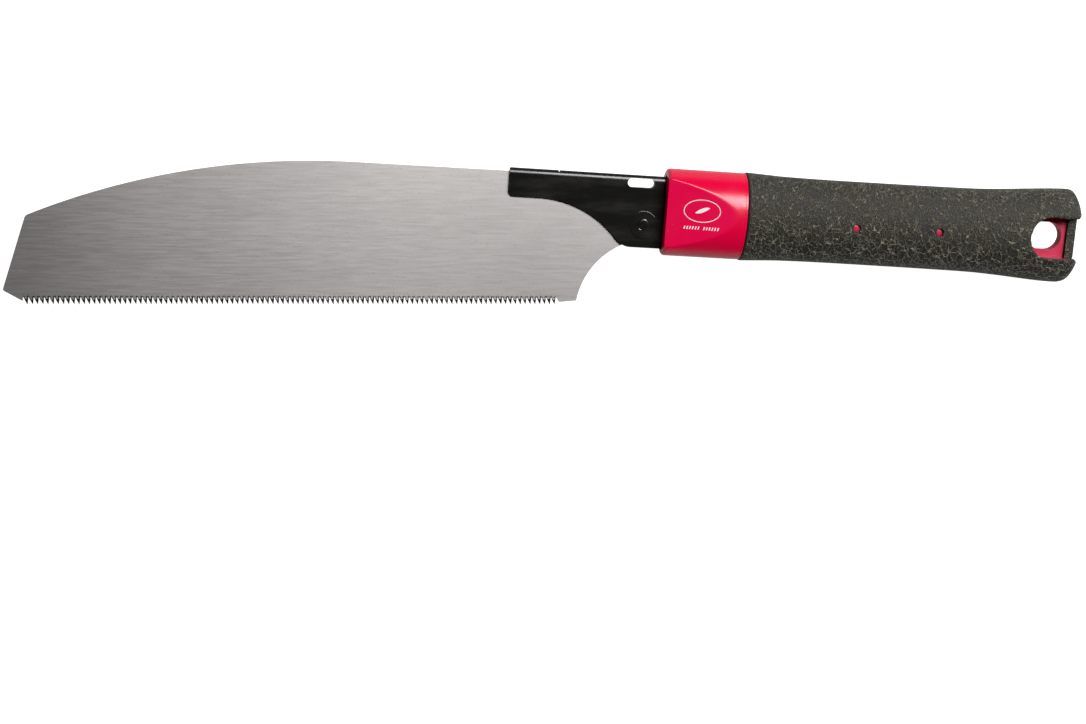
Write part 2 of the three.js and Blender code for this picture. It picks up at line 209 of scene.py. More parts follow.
def mesh_from(name: str, points: Iterable[Sequence[float]], faces: Iterable[Sequence[int]]) -> Mesh:
    """A mesh with its normals turned outwards."""
    mesh = bpy.data.meshes.new(name)
    mesh.from_pydata([tuple(p) for p in points], [], [tuple(f) for f in faces])
    return tidied(mesh)


def tidied(mesh: Mesh, merge: float = 1e-5) -> Mesh:
    """The mesh with doubled points merged and its normals turned outwards."""
    bm = bmesh.new()
    bm.from_mesh(mesh)
    bmesh.ops.remove_doubles(bm, verts=bm.verts, dist=merge)
    bmesh.ops.delete(bm, geom=[e for e in bm.edges if not e.link_faces], context="EDGES")
    bmesh.ops.recalc_face_normals(bm, faces=bm.faces)
    bm.to_mesh(mesh)
    bm.free()
    return mesh


def loft(name: str, loops: Sequence[Loop], ring: bool = False) -> Mesh:
    """A closed mesh through loops of equal length.

    Args:
        name: the mesh's name.
        loops: the loops, in order.
        ring: True where the last loop joins the first, and False where both ends are capped.

    Returns:
        The mesh.
    """
    size = len(loops[0])
    points = [p for loop in loops for p in loop]
    faces: list[Sequence[int]] = []
    last = len(loops) if ring else len(loops) - 1
    for i in range(last):
        a, b = i * size, (i + 1) % len(loops) * size
        faces += [(a + j, a + (j + 1) % size, b + (j + 1) % size, b + j) for j in range(size)]
    if not ring:
        faces += [list(range(size)), list(range((len(loops) - 1) * size, len(loops) * size))]
    return mesh_from(name, points, faces)


def lathe(name: str, profile: Sequence[Point], steps: int = 72, centre: Point = (0.0, 0.0)) -> Mesh:
    """A closed profile of (radius, z) points turned about a line along Z."""
    loops: list[Loop] = []
    for i in range(steps):
        c, s = math.cos(2 * math.pi * i / steps), math.sin(2 * math.pi * i / steps)
        loops.append([(centre[0] + r * c, centre[1] + r * s, z) for r, z in profile])
    return loft(name, loops, ring=True)


def prism(name: str, outline: Sequence[Point], z0: float, z1: float) -> Mesh:
    """A flat outline raised from z0 to z1, with sharp edges."""
    return loft(name, [[(x, y, z0) for x, y in outline], [(x, y, z1) for x, y in outline]])


def evaluated(obj: bpy.types.Object, name: str) -> Mesh:
    """The mesh that an object's modifiers give, taken before the object is removed."""
    bpy.context.view_layer.update()
    graph = bpy.context.evaluated_depsgraph_get()
    mesh = bpy.data.meshes.new_from_object(obj.evaluated_get(graph), depsgraph=graph)
    mesh.name = name
    old = obj.data
    bpy.data.objects.remove(obj)
    if isinstance(old, bpy.types.Curve):
        bpy.data.curves.remove(old)
    return mesh


def linked(name: str, data: bpy.types.ID) -> bpy.types.Object:
    """A new object in the scene's collection."""
    obj = bpy.data.objects.new(name, data)
    bpy.context.scene.collection.objects.link(obj)
    return obj


def plate(
    name: str, outlines: Sequence[Sequence[Point]], z0: float, z1: float, edge: float, steps: int = 2
) -> Mesh:
    """A flat plate with rounded edges.

    Args:
        name: the mesh's name.
        outlines: the outside first, and then the holes.
        z0: the lower flat.
        z1: the upper flat.
        edge: the radius of the edges.
        steps: how many steps the rounding has.

    Returns:
        The mesh.
    """
    curve = bpy.data.curves.new(name, "CURVE")
    curve.dimensions, curve.fill_mode = "2D", "BOTH"
    curve.extrude, curve.bevel_depth, curve.offset = (z1 - z0) / 2 - edge, edge, -edge
    curve.bevel_resolution = steps
    for outline in outlines:
        spline = curve.splines.new("POLY")
        spline.points.add(len(outline) - 1)
        for point, (x, y) in zip(spline.points, outline):
            point.co = (x, y, 0, 1)
        spline.use_cyclic_u = True
    mesh = evaluated(linked(name, curve), name)
    mesh.transform(Matrix.Translation((0, 0, (z0 + z1) / 2)))
    return tidied(mesh, 1e-4)


def joined(name: str, meshes: Sequence[Mesh]) -> Mesh:
    """Several meshes as one."""
    bm = bmesh.new()
    for mesh in meshes:
        bm.from_mesh(mesh)
    result = bpy.data.meshes.new(name)
    bm.to_mesh(result)
    bm.free()
    return result


def cut(mesh: Mesh, *cutters: Mesh, keep: bool = False) -> Mesh:
    """A mesh with others cut out of it.

    Args:
        mesh: the mesh to cut.
        cutters: what to cut it with, one after the other.
        keep: True to keep what lies inside the cutters and drop the rest.

    Returns:
        The cut mesh.
    """
    for cutter in cutters:
        body, tool = linked(mesh.name, mesh), linked("cutter", cutter)
        modifier = body.modifiers.new("cut", "BOOLEAN")
        modifier.operation = "INTERSECT" if keep else "DIFFERENCE"
        modifier.solver, modifier.object = "EXACT", tool
        mesh = evaluated(body, mesh.name)
        bpy.data.objects.remove(tool)
    return mesh


def eased(mesh: Mesh, width: float, steps: int = 3, angle: float = 40.0) -> Mesh:
    """A mesh with its sharp edges rounded by a bevel."""
    body = linked(mesh.name, mesh)
    modifier = body.modifiers.new("ease", "BEVEL")
    modifier.width, modifier.segments = width, steps
    modifier.limit_method, modifier.angle_limit = "ANGLE", math.radians(angle)
    modifier.harden_normals = False
    return evaluated(body, mesh.name)


def finished(
    name: str,
    mesh: Mesh,
    where: Matrix,
    materials: Sequence[bpy.types.Material],
    body: Body,
    nodes: Sequence[str] = (),
    crease: float = 35.0,
) -> bpy.types.Object:
    """A finished piece: placed, shaded, dressed and riding on its body.

    Args:
        name: the piece's name.
        mesh: its mesh, in millimetres.
        where: the matrix to the row frame.
        materials: its materials, in slot order, or none where the mesh has them already.
        body: the CAD body that it rides on.
        nodes: the CAD nodes that it stands for.
        crease: the angle in degrees past which an edge stays sharp.

    Returns:
        The piece.
    """
    mesh.transform(where)
    mesh.polygons.foreach_set("use_smooth", [True] * len(mesh.polygons))
    mesh.set_sharp_from_angle(angle=math.radians(crease))
    for material in materials:
        mesh.materials.append(material)
    mesh.name = name
    piece = linked(name, mesh)
    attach(piece, body.value)
    if nodes:
        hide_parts(*nodes)
    LOG.info("%s: %d faces on %s", name, len(mesh.polygons), body.value)
    return piece


# ---- node trees and finishes -------------------------------------------------------------------------


def add_node(
    tree: bpy.types.NodeTree, kind: str, inputs: dict | None = None, **settings: object
) -> bpy.types.Node:
    """A new node, set and wired.

    Args:
        tree: the tree that gets the node.
        kind: the node's type.
        inputs: by input name or number, either a socket to link or a plain value.
        settings: the node's own properties.

    Returns:
        The node.
    """
    node = tree.nodes.new(kind)
    for key, value in settings.items():
        setattr(node, key, value)
    for key, value in (inputs or {}).items():
        if isinstance(value, Socket):
            tree.links.new(value, node.inputs[key])
        else:
            node.inputs[key].default_value = value
    return node


@dataclass
class Shader:
    """A material's node tree, with the few patterns that the finishes share."""

    name: str
    material: bpy.types.Material = field(init=False)
    tree: bpy.types.NodeTree = field(init=False)
    where: Socket = field(init=False)

    def __post_init__(self) -> None:
        """Starts an empty material that reads Object coordinates."""
        self.material = bpy.data.materials.new(self.name)
        self.material.use_nodes = True
        self.tree = self.material.node_tree
        self.tree.nodes.clear()
        self.where = add_node(self.tree, "ShaderNodeTexCoord").outputs["Object"]

    def mapped(
        self, scale: Sequence[float], turn: float = 0.0, origin: Sequence[float] = (0, 0, 0)
    ) -> Socket:
        """Object coordinates moved to an origin, turned about Z and scaled."""
        moved = add_node(
            self.tree, "ShaderNodeMapping",
            {"Vector": self.where, "Location": origin, "Rotation": (0, 0, turn)}, vector_type="TEXTURE",
        )
        return add_node(
            self.tree, "ShaderNodeVectorMath", {0: moved.outputs[0], 1: tuple(scale)}, operation="MULTIPLY"
        ).outputs[0]

    def noise(self, vector: Socket, scale: float, detail: float = 3.0, rough: float = 0.5) -> Socket:
        """Fractal noise from 0 to 1."""
        return add_node(
            self.tree, "ShaderNodeTexNoise",
            {"Vector": vector, "Scale": scale, "Detail": detail, "Roughness": rough},
        ).outputs[0]

    def ramp(
        self, value: Socket, low: float, high: float, out0: float = 0.0, out1: float = 1.0
    ) -> Socket:
        """A value carried from low..high to out0..out1, clamped and smoothed at both ends."""
        return add_node(
            self.tree, "ShaderNodeMapRange",
            {"Value": value, "From Min": low, "From Max": high, "To Min": out0, "To Max": out1},
            interpolation_type="SMOOTHSTEP",
        ).outputs[0]

    def math(self, operation: str, a: object, b: object = 0.0) -> Socket:
        """One sum of two values."""
        return add_node(self.tree, "ShaderNodeMath", {0: a, 1: b}, operation=operation).outputs[0]

    def mix(self, factor: object, a: object, b: object) -> Socket:
        """A blend of two colours."""
        node = add_node(self.tree, "ShaderNodeMix", data_type="RGBA")
        for socket, value in zip((node.inputs[0], node.inputs[6], node.inputs[7]), (factor, a, b)):
            if isinstance(value, Socket):
                self.tree.links.new(value, socket)
            else:
                socket.default_value = value if isinstance(value, float) else (*value, 1.0)
        return node.outputs[2]

    def bump(self, height: Socket, strength: float, distance: float) -> Socket:
        """A normal raised by a height."""
        inputs = {"Height": height, "Strength": strength, "Distance": distance}
        return add_node(self.tree, "ShaderNodeBump", inputs).outputs[0]

    def finish(self, inputs: dict) -> bpy.types.Material:
        """The material, ended in one Principled shader."""
        shader = add_node(self.tree, "ShaderNodeBsdfPrincipled", inputs)
        add_node(self.tree, "ShaderNodeOutputMaterial", {"Surface": shader.outputs[0]})
        return self.material


@dataclass(frozen=True)
class SatinSteel:
    """Ground blade steel: grain along the blade, cloudy tone and small dark specks, with painted shade that
    darkens both ends.

    The painted shade's fades run between places along the blade in metres, measured from the hook pin.
    """

    name: str = "satin_blade_steel"
    light: Colour = (0.80, 0.775, 0.752)
    dark: Colour = (0.735, 0.711, 0.690)
    speck: Colour = (0.60, 0.578, 0.56)
    roughness: tuple[float, float] = (0.455, 0.50)
    # painted shade: how dark the steel is painted at the nose and the heel, standing in for uneven light
    # along the blade
    painted_end_shade: float = 0.72
    nose_shade_fade: tuple[float, float] = (-0.29, -0.19)
    heel_shade_fade: tuple[float, float] = (-0.12, 0.02)

    def material(self) -> bpy.types.Material:
        """The finish as a material."""
        s = Shader(self.name)
        grain = s.noise(s.mapped((70, 1500, 1500)), 1.0, 4.0, 0.65)
        cloud = s.noise(s.mapped((18, 50, 50)), 1.0, 3.0, 0.6)
        fine = s.noise(s.mapped((700, 1100, 1100)), 1.0, 2.0)
        tone = s.math("ADD", s.math("MULTIPLY", grain, 0.6), s.math("MULTIPLY", cloud, 0.4))
        colour = s.mix(s.ramp(tone, 0.36, 0.64), self.dark, self.light)
        colour = s.mix(s.math("MULTIPLY", s.ramp(fine, 0.60, 0.72), 0.5), colour, self.speck)
        along = add_node(s.tree, "ShaderNodeSeparateXYZ", {0: s.mapped((1, 1, 1))}).outputs[0]
        # painted shade: the steel's colour is darkened towards the nose and the heel, standing in for
        # uneven light along the blade
        nose = s.ramp(along, *self.nose_shade_fade, self.painted_end_shade, 1.0)
        heel = s.ramp(along, *self.heel_shade_fade, 1.0, self.painted_end_shade)
        colour = s.mix(s.math("MULTIPLY", nose, heel), (0.0, 0.0, 0.0), colour)
        return s.finish({
            "Base Color": colour,
            "Metallic": 1.0,
            "Roughness": s.ramp(grain, 0.3, 0.7, *self.roughness),
            "Normal": s.bump(grain, 0.05, 0.00008),
        })


@dataclass(frozen=True)
class DarkToothGrind:
    """The ground bevels of the hardened teeth, coloured near black."""

    name: str = "dark_tooth_bevel"
    dark: Colour = (0.010, 0.010, 0.011)
    light: Colour = (0.045, 0.044, 0.042)

    def material(self) -> bpy.types.Material:
        """The finish as a material."""
        s = Shader(self.name)
        lines = s.noise(s.mapped((2600, 900, 900)), 1.0, 2.0)
        return s.finish({
            "Base Color": s.mix(s.ramp(lines, 0.35, 0.75), self.dark, self.light),
            "Metallic": 0.6,
            "Roughness": s.ramp(lines, 0.3, 0.7, 0.3, 0.45),
        })


@dataclass(frozen=True)
class BlackEnamel:
    """Baked black enamel on sheet steel, with a faint orange peel."""

    name: str = "black_enamel"
    base: Colour = (0.0075, 0.0075, 0.0062)
    worn: Colour = (0.014, 0.0135, 0.0115)

    def material(self) -> bpy.types.Material:
        """The finish as a material."""
        s = Shader(self.name)
        peel = s.noise(s.mapped((700, 700, 700)), 1.0, 2.0)
        smear = s.noise(s.mapped((45, 160, 160)), 1.0, 4.0, 0.6)
        return s.finish({
            "Base Color": s.mix(s.ramp(smear, 0.4, 0.7), self.base, self.worn),
            "Roughness": s.ramp(smear, 0.35, 0.7, 0.15, 0.24),
            "Specular IOR Level": 0.5,
            "Normal": s.bump(peel, 0.04, 0.0002),
        })


@dataclass(frozen=True)
class CollarGloss:
    """Moulded red gloss plastic; the flats are painted a lighter, cooler red for the light they take, and a
    few hairline scratches cross them.
    """

    name: str = "collar_red_gloss"
    crown: Colour = (0.75, 0.0004, 0.046)
    # painted light: the flats' lighter, cooler copy of the same red, for how the flat faces take the light
    flat: Colour = (0.79, 0.0003, 0.064)
    scratch: Colour = (0.9, 0.55, 0.6)

    def material(self) -> bpy.types.Material:
        """The finish as a material."""
        s = Shader(self.name)
        on_flat = add_node(s.tree, "ShaderNodeAttribute", attribute_name="flat").outputs["Fac"]
        cloud = s.noise(s.mapped((60, 60, 60)), 1.0, 2.0)
        lines = s.noise(s.mapped((240, 1900, 900), turn=0.5), 1.0, 2.0)
        patch = s.noise(s.mapped((170, 170, 170)), 1.0, 1.0)
        hair = s.math("MULTIPLY", s.ramp(lines, 0.735, 0.76), s.ramp(patch, 0.6, 0.66))
        # painted light: the flats get their lighter, cooler red, standing in for how the flat faces take
        # the light
        colour = s.mix(on_flat, self.crown, self.flat)
        colour = s.mix(s.math("MULTIPLY", hair, 0.8), colour, self.scratch)
        return s.finish({
            "Base Color": colour,
            "Roughness": s.ramp(cloud, 0.35, 0.65, 0.20, 0.27),
            "Specular IOR Level": 0.45,
            "Normal": s.bump(s.noise(s.mapped((160, 160, 160)), 1.0, 1.0), 0.05, 0.0004),
        })


@dataclass(frozen=True)
class CorePlastic:
    """The satin red plastic of the core, slightly frosted from the mould."""

    name: str = "core_red_satin"
    deep: Colour = (0.40, 0.005, 0.040)
    light: Colour = (0.52, 0.022, 0.075)

    def material(self) -> bpy.types.Material:
        """The finish as a material."""
        s = Shader(self.name)
        frost = s.noise(s.mapped((900, 900, 900)), 1.0, 3.0, 0.6)
        cloud = s.noise(s.mapped((90, 90, 90)), 1.0, 2.0)
        return s.finish({
            "Base Color": s.mix(s.ramp(cloud, 0.3, 0.7), self.deep, self.light),
            "Roughness": s.ramp(frost, 0.3, 0.7, 0.3, 0.42),
            "Normal": s.bump(frost, 0.12, 0.0002),
        })


@dataclass(frozen=True)
class LeatherRubber:
    """Soft olive-grey elastomer moulded with a leather grain of raised veins, with painted light: bold
    veins below, fine veins above, and the upper side painted lighter and greyer as if lit from above.

    A grain is (cell size in metres, vein width as a part of a cell). The first plain_front metres behind
    the collar have no veins.
    """

    turn: float
    origin: tuple[float, float, float]
    name: str = "grip_leather_rubber"
    hollow: Colour = (0.0045, 0.0045, 0.0020)
    pebble: Colour = (0.0170, 0.0162, 0.0098)
    painted_lit_top: Colour = (0.0190, 0.0184, 0.0148)
    # painted light: the lighter grey painted over the upper side, as if lit from above
    vein: Colour = (0.300, 0.285, 0.205)
    plain_front: float = 0.0011
    bold: tuple[float, float] = (0.0030, 0.078)
    fine: tuple[float, float] = (0.0017, 0.115)
    stretch: float = 0.66
    drift: tuple[float, float, float] = (0.0026, 0.0034, 0.0026)

    def veins(self, s: Shader, cells: Socket, size: float, width: float) -> Socket:
        """Raised veins between pebbles of one size, 1 on a vein and 0 on a pebble."""
        edge = add_node(
            s.tree, "ShaderNodeTexVoronoi", {"Vector": cells, "Scale": 1 / size}, feature="DISTANCE_TO_EDGE"
        ).outputs["Distance"]
        return s.ramp(edge, 0.0, width, 1.0, 0.0)

    def material(self) -> bpy.types.Material:
        """The finish as a material."""
        s = Shader(self.name)
        turned = s.mapped((1.0, 1.0, 1.0), turn=self.turn, origin=self.origin)
        along, across, _ = add_node(s.tree, "ShaderNodeSeparateXYZ", {0: turned}).outputs
        sway = add_node(
            s.tree, "ShaderNodeTexNoise", {"Vector": turned, "Scale": 420.0, "Detail": 2.0}
        ).outputs["Color"]
        swayed = add_node(
            s.tree, "ShaderNodeVectorMath", {0: sway, 1: self.drift, 2: turned}, operation="MULTIPLY_ADD"
        ).outputs[0]
        squeeze = (1.0, self.stretch, self.stretch)
        cells = add_node(
            s.tree, "ShaderNodeVectorMath", {0: swayed, 1: squeeze}, operation="MULTIPLY"
        ).outputs[0]
        wander = s.math("MULTIPLY", s.noise(turned, 60.0, 2.0), 0.012)
        # painted light: the upper side gets finer, fainter veins and the lower side bolder ones, standing
        # in for light from above
        upper = s.ramp(s.math("ADD", across, wander), 0.001, 0.016)
        bold_left = s.ramp(s.noise(turned, 200.0, 2.0), 0.36, 0.50, 0.45, 1.0)
        fine_left = s.ramp(s.noise(turned, 260.0, 2.0), 0.40, 0.54, 0.15, 1.0)
        bold = s.math("MULTIPLY", self.veins(s, cells, *self.bold), bold_left)
        fine = s.math("MULTIPLY", self.veins(s, cells, *self.fine), fine_left)
        bold = s.math("MULTIPLY", bold, s.ramp(upper, 0.0, 1.0, 1.0, 0.35))
        fine = s.math("MULTIPLY", fine, s.ramp(upper, 0.0, 1.0, 0.35, 0.8))
        grained = s.ramp(along, self.plain_front - 0.0008, self.plain_front)
        vein = s.math("MULTIPLY", s.math("MAXIMUM", bold, fine), grained)
        grit = s.noise(turned, 1000.0, 3.0, 0.65)
        patch = s.noise(turned, 160.0, 4.0)
        mottle = s.math("ADD", s.math("MULTIPLY", patch, 0.5), s.math("MULTIPLY", grit, 0.5))
        skin = s.mix(s.ramp(mottle, 0.40, 0.60), self.hollow, self.pebble)
        # painted light: the upper side is mixed towards a lighter grey, as if lit from above
        skin = s.mix(s.math("MULTIPLY", upper, 0.55), skin, self.painted_lit_top)
        height = s.math("ADD", vein, s.math("MULTIPLY", grit, 0.4))
        return s.finish({
            "Base Color": s.mix(s.math("MULTIPLY", vein, 0.8), skin, self.vein),
            "Roughness": s.ramp(vein, 0.0, 1.0, 0.58, 0.40),
            "Specular IOR Level": 0.45,
            "Normal": s.bump(height, 1.0, 0.0010),
        })


@dataclass(frozen=True)
class PlatedSteel:
    """Dull zinc plating on the inner steel pieces."""

    name: str = "dull_zinc_plate"
    light: Colour = (0.60, 0.61, 0.63)
    dark: Colour = (0.42, 0.43, 0.45)

    def material(self) -> bpy.types.Material:
        """The finish as a material."""
        s = Shader(self.name)
        spangle = s.noise(s.mapped((350, 350, 350)), 1.0, 3.0)
        return s.finish({
            "Base Color": s.mix(s.ramp(spangle, 0.35, 0.65), self.dark, self.light),
            "Metallic": 0.95,
            "Roughness": s.ramp(spangle, 0.3, 0.7, 0.38, 0.55),
        })


@dataclass(frozen=True)
class PrintInk:
    """White pad-printed ink, a little thin in places."""

    name: str = "white_print"
    white: Colour = (0.90, 0.86, 0.86)
    thin: Colour = (0.88, 0.62, 0.68)

    def material(self) -> bpy.types.Material:
        """The finish as a material."""
        s = Shader(self.name)
        wear = s.noise(s.mapped((1300, 1300, 1300)), 1.0, 2.0)
        return s.finish({
            "Base Color": s.mix(s.ramp(wear, 0.56, 0.72), self.white, self.thin),
            "Roughness": s.ramp(wear, 0.3, 0.7, 0.35, 0.5),
        })


# ---- the blade ---------------------------------------------------------------------------------------


@dataclass
class SawBlade:
    """The blade: a thin plate with a belly, an angled nose, a hook for the pin, and a row of set teeth."""

    place: Place
    half: float = 0.45
    edge: float = 0.09
    pitch: float = 2.5
    teeth: int = 106
    tooth_height: float = 4.1
    face_run: float = 0.5
    flank_part: float = 0.35
    tip_y: float = -41.3
    first_tip_x: float = -307.3
    nose_top: Point = (-306.8, 3.2)
    nose_bottom: Point = (-319.0, -34.1)
    nose_chamfer: Point = (-309.7, -39.4)
    heel_corner: Point = (-33.7, -39.2)
    heel_land: Point = (-42.5, -39.9)
    heel_centre: Point = (5.25, -46.5)
    heel_radius: float = 39.6
    spine_slope: float = math.radians(2.6)
    spine_at_pin: float = 23.8
    belly_radius: float = 372.5
    belly_x: float = -148.2
    hook_radius: float = 8.0
    throat_half: float = 3.1
    throat_lean: float = math.radians(20.0)
    tang_top: float = 16.5
    step: tuple[float, float] = (-42.0, -33.0)

    def toothed_edge(self) -> list[Point]:
        """The line that the teeth stand on, from the nose to the heel."""
        gullet = self.tip_y + self.tooth_height
        first = self.first_tip_x - self.pitch + self.face_run
        last = self.first_tip_x + (self.teeth - 1) * self.pitch + self.face_run
        return [(first, gullet), (last, gullet), self.heel_land]

    def tang(self) -> list[Point]:
        """The blade's rear: heel arc, hook round the pin with its leaning slot, and the stepped top."""
        pin = (0.0, 0.0)
        centre = Vector(self.heel_centre)
        reach, towards = centre.length, centre.normalized()
        along = (self.hook_radius ** 2 - self.heel_radius ** 2 + reach ** 2) / (2 * reach)
        across = math.sqrt(self.hook_radius ** 2 - along ** 2)
        start = tuple(towards * along + Vector((-towards.y, towards.x)) * across)
        throat = Vector((math.sin(self.throat_lean), math.cos(self.throat_lean)))
        throat_angle = bearing(pin, self.place.handle_to_saw(*throat))
        barb = throat_angle - math.degrees(math.asin(self.throat_half / self.hook_radius))
        left = Vector((-throat.y, throat.x)) * self.throat_half
        top = left + throat * ((self.tang_top - left.y) / throat.y)
        drop = math.tan(self.place.handle_drop - self.spine_slope)
        step_v = self.spine_at_pin * math.cos(self.spine_slope) + self.step[0] * drop
        return [
            *arc(self.heel_centre, self.heel_radius, bearing(self.heel_centre, self.heel_corner),
                 bearing(self.heel_centre, start), 40),
            *arc(pin, self.hook_radius, bearing(pin, start), barb, 20)[1:],
            *arc(pin, self.throat_half, throat_angle - 90, throat_angle - 270, 20),
            self.place.handle_to_saw(*top),
            self.place.handle_to_saw(self.step[1], self.tang_top),
            self.place.handle_to_saw(self.step[0], step_v),
        ]

    def spine(self) -> list[Point]:
        """The spine from the holder to the nose: straight, then the long belly."""
        start = Vector((self.belly_x, self.spine_at_pin - self.belly_x * math.tan(self.spine_slope)))
        normal = Vector((math.sin(self.spine_slope), math.cos(self.spine_slope)))
        centre = start - normal * self.belly_radius
        end = 180 - math.degrees(math.acos((centre.x - self.nose_top[0]) / self.belly_radius))
        belly = arc(tuple(centre), self.belly_radius, bearing(centre, start), end, 60)
        return belly[:-1] + round_corner(belly[-2], belly[-1], self.nose_bottom, 3.0)

    def plate_mesh(self) -> Mesh:
        """The plate above the teeth."""
        nose = round_corner(self.nose_top, self.nose_bottom, self.nose_chamfer, 1.2)
        outline = [self.nose_chamfer, *self.toothed_edge(), *self.tang(), *self.spine(), *nose]
        return plate("blade_plate", [outline], -self.half, self.half, self.edge)

    def tooth(self, grind: Grind, shift: float) -> Facets:
        """One tooth, ground on both of its flanks and set to one side.

        Args:
            grind: how wide the bevels are and which way the tip is set.
            shift: how far along the edge the tooth stands.

        Returns:
            Its points, its faces, and for each face whether it is a ground bevel.
        """
        width, lean = grind.value
        top, run, back = self.tooth_height, self.face_run, self.pitch - self.face_run
        apex = 2 * width * top / self.pitch
        flat, thin = self.half, self.half * self.flank_part
        ridge = -back * apex / top + width
        middle, shoulder, bend = top * 0.5, top * 0.74, top * 0.75

        def at(x: float, y: float, z: float) -> tuple[float, float, float]:
            """A point of the tooth, bent over by its set below the gullet."""
            return (x + shift, y, z + lean * max(0.0, 1 - y / bend) ** 1.2)

        points: list[Sequence[float]] = []
        for side in (1.0, -1.0):
            wide = flat * side
            points += [
                at(-back, top, wide), at(-back + width, top, wide),
                at(run - width, top, wide), at(run, top, wide), at(ridge, apex, wide),
                at(-back * 0.5 - 0.1, middle, thin * side), at(run * 0.5 + 0.08, middle, thin * side),
                at(0, 0, thin * side * 0.4),
                at(-back + width * 0.6, shoulder, wide), at(run - width * 0.5, shoulder, wide),
            ]
        faces: list[Sequence[int]] = []
        ground: list[bool] = []
        for first in (0, 10):
            a, b, c, d, e, f, g, h, m, n = range(first, first + 10)
            faces += [
                (b, c, n, e, m), (a, b, m, f), (m, e, f), (e, h, f), (c, d, g, n), (n, g, e), (e, g, h)
            ]
            ground += [False] + [True] * 6
        for left, right in ((0, 5), (5, 7), (7, 6), (6, 3)):
            faces.append((left, right, right + 10, left + 10))
            ground.append(True)
        faces.append((0, 1, 2, 3, 13, 12, 11, 10))
        ground.append(False)
        # thin wedges carry the bevels a little way up the plate, past the gullets
        for side in (1.0, -1.0):
            for x0, x1 in ((-back, -back + width * 0.42), (run, run - width * 0.42)):
                first, tip = len(points), x0 + (x1 - x0) * 1.15
                points += [at(x, y, (flat + rise) * side) for rise in (-0.04, 0.012)
                           for x, y in ((x0, top - 0.02), (x1, top - 0.02), (tip, top + width * 0.95))]
                faces += [[first + i for i in face] for face in
                          ((0, 1, 2), (3, 4, 5), (0, 1, 4, 3), (1, 2, 5, 4), (2, 0, 3, 5))]
                ground += [True] * 5
        return points, faces, ground

    def tooth_pair(self) -> Mesh:
        """Two neighbouring teeth, set to opposite sides, with their bevels marked."""
        points: list[Sequence[float]] = []
        faces: list[Sequence[int]] = []
        ground: list[bool] = []
        for i, grind in enumerate((Grind.LONG, Grind.SHORT)):
            more, shapes, marks = self.tooth(grind, i * self.pitch)
            faces += [[j + len(points) for j in face] for face in shapes]
            points += more
            ground += marks
        mesh = bpy.data.meshes.new("tooth_pair")
        mesh.from_pydata(points, [], faces)
        bm = bmesh.new()
        bm.from_mesh(mesh)
        bmesh.ops.recalc_face_normals(bm, faces=bm.faces)
        bm.to_mesh(mesh)
        bm.free()
        mesh.attributes.new("ground", "BOOLEAN", "FACE").data.foreach_set("value", ground)
        return mesh

    def tooth_row_tree(self, steel: bpy.types.Material, bevel: bpy.types.Material) -> bpy.types.NodeTree:
        """The tree that repeats a pair of teeth along the edge.

        Args:
            steel: the flats' material.
            bevel: the ground bevels' material.

        Returns:
            The tree, with inputs for the number of pairs, their spacing and the first tip.
        """
        tree = bpy.data.node_groups.new("tooth_row", "GeometryNodeTree")
        tree.interface.new_socket("Geometry", in_out="INPUT", socket_type="NodeSocketGeometry")
        tree.interface.new_socket("Pairs", in_out="INPUT", socket_type="NodeSocketInt")
        tree.interface.new_socket("Spacing", in_out="INPUT", socket_type="NodeSocketFloat")
        tree.interface.new_socket("First tip", in_out="INPUT", socket_type="NodeSocketVector")
        tree.interface.new_socket("Geometry", in_out="OUTPUT", socket_type="NodeSocketGeometry")
        given = tree.nodes.new("NodeGroupInput").outputs
        offset = add_node(tree, "ShaderNodeCombineXYZ", {"X": given["Spacing"]}).outputs[0]
        line = add_node(
            tree, "GeometryNodeMeshLine",
            {"Count": given["Pairs"], "Start Location": given["First tip"], "Offset": offset},
            mode="OFFSET",
        )
        row = add_node(
            tree, "GeometryNodeInstanceOnPoints", {"Points": line.outputs[0], "Instance": given["Geometry"]}
        )
        real = add_node(tree, "GeometryNodeRealizeInstances", {"Geometry": row.outputs[0]})
        plain = add_node(tree, "GeometryNodeSetMaterial", {"Geometry": real.outputs[0], "Material": steel})
        marked = add_node(tree, "GeometryNodeInputNamedAttribute", {"Name": "ground"}, data_type="BOOLEAN")
        dressed = add_node(
            tree, "GeometryNodeSetMaterial",
            {"Geometry": plain.outputs[0], "Selection": marked.outputs["Attribute"], "Material": bevel},
        )
        add_node(tree, "NodeGroupOutput", {0: dressed.outputs[0]})
        return tree

    def build(self) -> None:
        """Makes the plate and its teeth."""
        steel, bevel = SatinSteel().material(), DarkToothGrind().material()
        finished("blade_plate", self.plate_mesh(), self.place.saw(), [steel], Body.BLADE,
                 ["saw_blade"], crease=12.0)
        row = linked("tooth_row", self.tooth_pair())
        tree = self.tooth_row_tree(steel, bevel)
        modifier = row.modifiers.new("row", "NODES")
        modifier.node_group = tree
        names = {item.name: item.identifier for item in tree.interface.items_tree if item.in_out == "INPUT"}
        modifier[names["Pairs"]] = self.teeth // 2
        modifier[names["Spacing"]] = 2 * self.pitch
        modifier[names["First tip"]] = (self.first_tip_x, self.tip_y, 0.0)
        finished("blade_teeth", evaluated(row, "blade_teeth"), self.place.saw(), [], Body.BLADE,
                 ["saw_blade"], crease=12.0)


# ---- the holder and its pin ----------------------------------------------------------------------------


